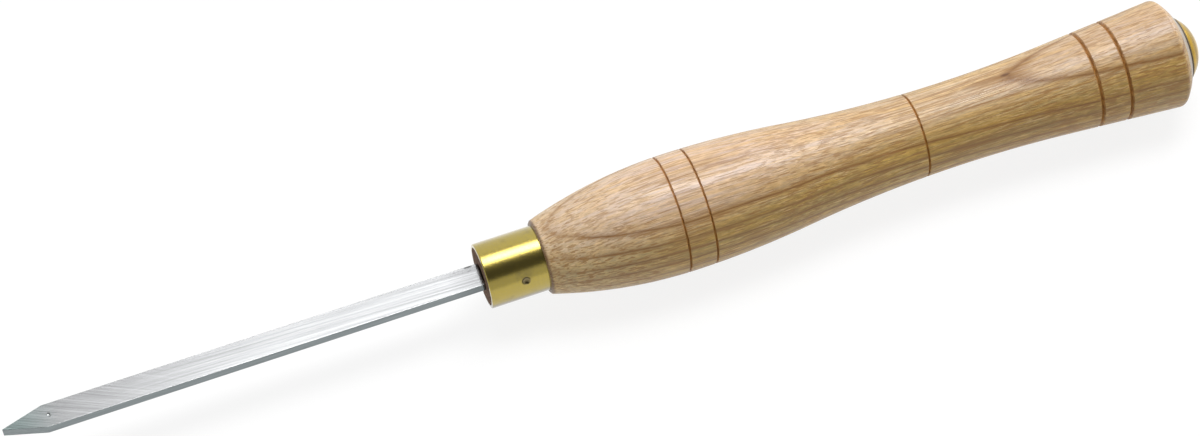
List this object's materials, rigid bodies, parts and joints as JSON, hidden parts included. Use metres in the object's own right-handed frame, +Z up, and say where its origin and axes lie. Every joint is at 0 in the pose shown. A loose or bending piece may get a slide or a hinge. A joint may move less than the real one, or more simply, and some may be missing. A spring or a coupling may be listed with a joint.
{
  "type": "lathe parting tool",
  "caption": "Lathe parting tool: a thin flat spear-pointed steel blade in a turned ash handle with ring grooves, a brass ferrule and a domed brass nail in its butt.",
  "frame": {"origin": "under the middle of the tool's length and width, on the level of the lowest point of its belly", "axes": "+X along the tool's axis from the tip to the butt, +Y across the blade's height, +Z up out of the blade's flat side"},
  "size_m": [0.2394, 0.0228, 0.0229],
  "materials": {
    "blade_steel": "ground",
    "ferrule_brass": "drawn tube, lightly polished",
    "ash": "satin lacquer",
    "nail_brass": "polished",
    "nail_steel": "plain"
  },
  "bodies": {
    "root": {"blade": "blade_steel", "ferrule": "ferrule_brass", "handle": "ash", "nail_dome": "nail_brass", "nail_shank": "nail_steel"}
  },
  "joints": []
}
